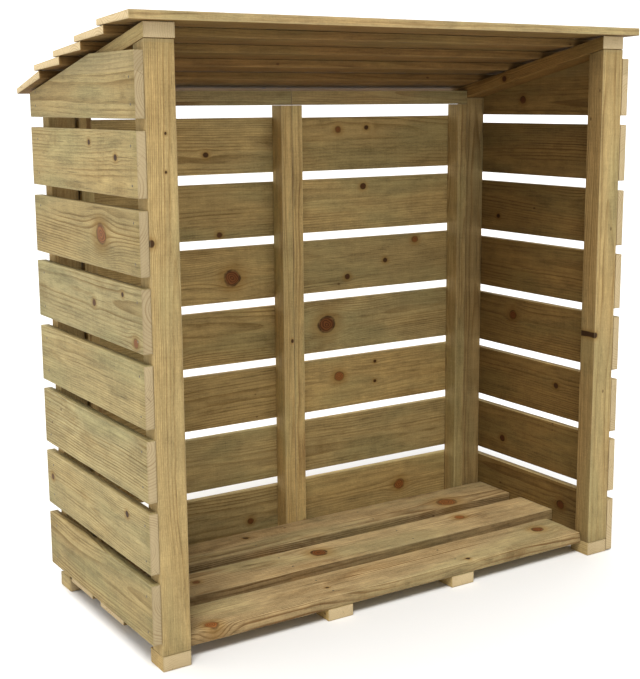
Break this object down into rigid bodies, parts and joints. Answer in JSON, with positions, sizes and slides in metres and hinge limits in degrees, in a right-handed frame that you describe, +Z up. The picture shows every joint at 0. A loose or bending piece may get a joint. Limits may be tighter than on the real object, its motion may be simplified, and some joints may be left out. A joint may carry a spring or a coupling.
{
  "type": "log store",
  "caption": "Open-fronted timber log store with slatted sides, a panelled slatted back, a raised slatted floor and a lean-to roof of lapped boards.",
  "frame": {"origin": "on the ground, under the middle of the store's bounding box", "axes": "+X to the right seen from the open front, +Y towards the back, +Z up"},
  "size_m": [1.226, 0.584, 1.2177],
  "materials": {
    "post_timber": "sawn, pressure-treated softwood",
    "board_timber": "sawn, pressure-treated softwood",
    "frame_timber": "planed, pressure-treated softwood",
    "floor_timber": "sawn, pressure-treated softwood",
    "roof_timber": "sawn, pressure-treated softwood"
  },
  "bodies": {
    "root": {"left_front_foot": "post_timber", "left_rear_foot": "post_timber", "right_front_foot": "post_timber", "right_rear_foot": "post_timber", "left_front_post": "post_timber", "left_rear_post": "post_timber", "right_front_post": "post_timber", "right_rear_post": "post_timber", "left_rafter": "post_timber", "right_rafter": "post_timber", "left_side_board_1": "board_timber", "left_side_board_2": "board_timber", "left_side_board_3": "board_timber", "left_side_board_4": "board_timber", "left_side_board_5": "board_timber", "left_side_board_6": "board_timber", "left_side_board_7": "board_timber", "left_side_board_8": "board_timber", "right_side_board_1": "board_timber", "right_side_board_2": "board_timber", "right_side_board_3": "board_timber", "right_side_board_4": "board_timber", "right_side_board_5": "board_timber", "right_side_board_6": "board_timber", "right_side_board_7": "board_timber", "right_side_board_8": "board_timber", "back_left_top_rail": "frame_timber", "back_left_outer_stile": "frame_timber", "back_left_inner_stile": "frame_timber", "back_left_boards": "board_timber", "back_right_top_rail": "frame_timber", "back_right_outer_stile": "frame_timber", "back_right_inner_stile": "frame_timber", "back_right_boards": "board_timber", "floor_board_front": "floor_timber", "floor_board_middle": "floor_timber", "floor_board_rear": "floor_timber", "left_bearer": "post_timber", "right_bearer": "post_timber", "roof_board_1": "roof_timber", "roof_board_2": "roof_timber", "roof_board_3": "roof_timber", "roof_board_4": "roof_timber", "roof_board_5": "roof_timber"}
  },
  "joints": []
}
